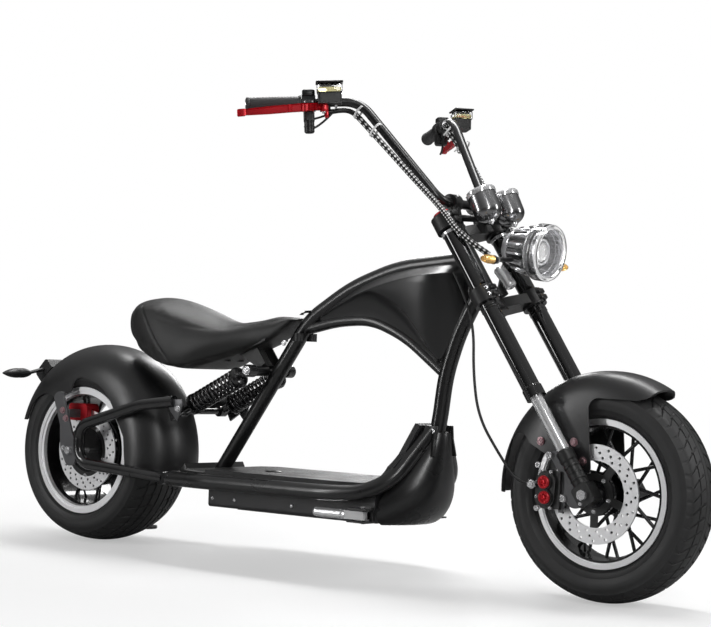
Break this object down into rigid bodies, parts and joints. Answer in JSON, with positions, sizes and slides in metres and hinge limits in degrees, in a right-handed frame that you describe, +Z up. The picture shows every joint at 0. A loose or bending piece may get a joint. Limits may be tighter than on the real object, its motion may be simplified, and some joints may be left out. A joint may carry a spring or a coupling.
{
  "type": "electric chopper scooter",
  "caption": "Low electric chopper scooter with a high handlebar, raked fork, arched tube frame, step-through deck, wide rear tyre and long saddle, leaning on its side stand.",
  "frame": {"origin": "on the floor, below the middle of the parked vehicle's bounding box", "axes": "+X forward, +Y to the vehicle's left, +Z up; the vehicle leans 3.5 degrees to its left on its side stand"},
  "size_m": [2.1082, 0.8318, 1.1831],
  "materials": {
    "frame_black": "satin black powder coat",
    "body_black": "satin black paint",
    "cast_black": "semi-gloss black on castings",
    "gloss_black": "gloss black fork tubes",
    "plate_grey": "satin grey plate",
    "deck_metal": "black sheet",
    "mat_rubber": "ribbed rubber",
    "seat_leather": "black sewn leather",
    "tyre_rubber": "road tyre",
    "rim_black": "gloss black with polished lips",
    "disc_steel": "drilled brake disc",
    "chrome": "chrome",
    "spring_black": "gloss black spring",
    "caliper_red": "red anodised",
    "lever_red": "red anodised",
    "grip_rubber": "ribbed rubber",
    "black_plastic": "moulded black",
    "clear_plastic": "clear moulding",
    "lamp_clear": "clear lamp body",
    "amber": "amber lens",
    "hose_rubber": "brake hose",
    "loom_braid": "black and white braid",
    "bolt_steel": "zinc-plated steel"
  },
  "bodies": {
    "chassis": {"spine_frame": "frame_black", "deck_rails": "frame_black", "deck_pan": "deck_metal", "deck_mat": "mat_rubber", "battery_box": "deck_metal", "nose_guard": "black_plastic", "tank_body": "body_black", "peg_brackets": "chrome", "seat": "seat_leather", "seat_bracket": "cast_black", "swingarm": "frame_black", "axle_plates": "plate_grey", "rear_axle": "bolt_steel", "shock_absorbers": "cast_black", "shock_springs": "spring_black", "rear_fender": "body_black", "tail_lamp": "black_plastic", "rear_signals": "black_plastic", "rear_caliper": "caliper_red", "stand_pin": "bolt_steel"},
    "front_end": {"lower_yoke": "cast_black", "upper_yoke": "cast_black", "fork_tubes": "gloss_black", "stanchions": "chrome", "fork_legs": "cast_black", "front_axle": "bolt_steel", "front_fender": "body_black", "front_caliper": "cast_black", "caliper_pistons": "caliper_red", "caliper_bracket": "plate_grey", "handlebar": "frame_black", "grips": "grip_rubber", "switch_housings": "black_plastic", "brake_masters": "cast_black", "reservoirs": "clear_plastic", "brake_levers": "lever_red", "headlight": "lamp_clear", "gauges": "chrome", "front_signals": "amber", "horn": "chrome", "brake_hose": "hose_rubber", "looms": "loom_braid"},
    "front_wheel": {"front_tyre": "tyre_rubber", "front_rim": "rim_black", "front_disc": "disc_steel"},
    "rear_wheel": {"rear_tyre": "tyre_rubber", "rear_rim": "rim_black", "rear_disc": "disc_steel"},
    "stand": {"side_stand": "cast_black"},
    "peg_right": {"right_peg": "chrome"},
    "peg_left": {"left_peg": "chrome"}
  },
  "joints": [
    {"name": "steering", "type": "hinge", "parent": "chassis", "child": "front_end", "pos_m": [0.42708, -0.02185, 0.73088], "axis": [-0.5592, 0.0506, 0.8275], "range_deg": [-35, 35]},
    {"name": "front_wheel_spin", "type": "hinge", "parent": "front_end", "child": "front_wheel", "pos_m": [0.81108, -0.0517, 0.24295], "axis": [0, 0.9981, -0.061], "continuous": true},
    {"name": "rear_wheel_spin", "type": "hinge", "parent": "chassis", "child": "rear_wheel", "pos_m": [-0.78092, -0.05157, 0.24495], "axis": [0, 0.9981, -0.061], "continuous": true},
    {"name": "side_stand_fold", "type": "hinge", "parent": "chassis", "child": "stand", "pos_m": [-0.85892, 0.08959, 0.19423], "axis": [0, 0.9981, -0.061], "range_deg": [0, 95]},
    {"name": "right_peg_fold", "type": "hinge", "parent": "chassis", "child": "peg_right", "pos_m": [0.23408, -0.20697, 0.16128], "axis": [0, 0.061, 0.9981], "range_deg": [0, 90]},
    {"name": "left_peg_fold", "type": "hinge", "parent": "chassis", "child": "peg_left", "pos_m": [0.23408, 0.09247, 0.14296], "axis": [0, -0.061, -0.9981], "range_deg": [0, 90]}
  ]
}
